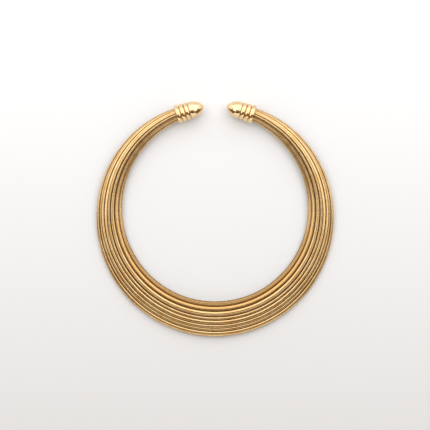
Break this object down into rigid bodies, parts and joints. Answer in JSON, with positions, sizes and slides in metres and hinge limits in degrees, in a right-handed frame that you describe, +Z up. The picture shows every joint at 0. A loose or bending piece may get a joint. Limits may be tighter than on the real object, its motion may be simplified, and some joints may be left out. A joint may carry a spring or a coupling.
{
  "type": "torc",
  "caption": "Open gold neck ring: parallel wires, spread wide at the front, narrow into a ringed, bullet-nosed terminal at each end; sprung open and worn round the neck.",
  "frame": {"origin": "middle of the bounding box seen from above, on the plane that the ring lies on", "axes": "+Z up, out of the plane that the ring lies on; -Y towards the wide front of the band; +Y towards the opening between the terminals; +X towards terminal_right"},
  "size_m": [0.1558, 0.1542, 0.0121],
  "materials": {
    "wire_gold": "satin",
    "terminal_gold": "polished"
  },
  "bodies": {
    "root": {"strand_1": "wire_gold", "strand_2": "wire_gold", "strand_3": "wire_gold", "strand_4": "wire_gold", "strand_5": "wire_gold", "strand_6": "wire_gold", "strand_7": "wire_gold", "strand_8": "wire_gold", "terminal_left": "terminal_gold", "terminal_right": "terminal_gold"}
  },
  "joints": []
}
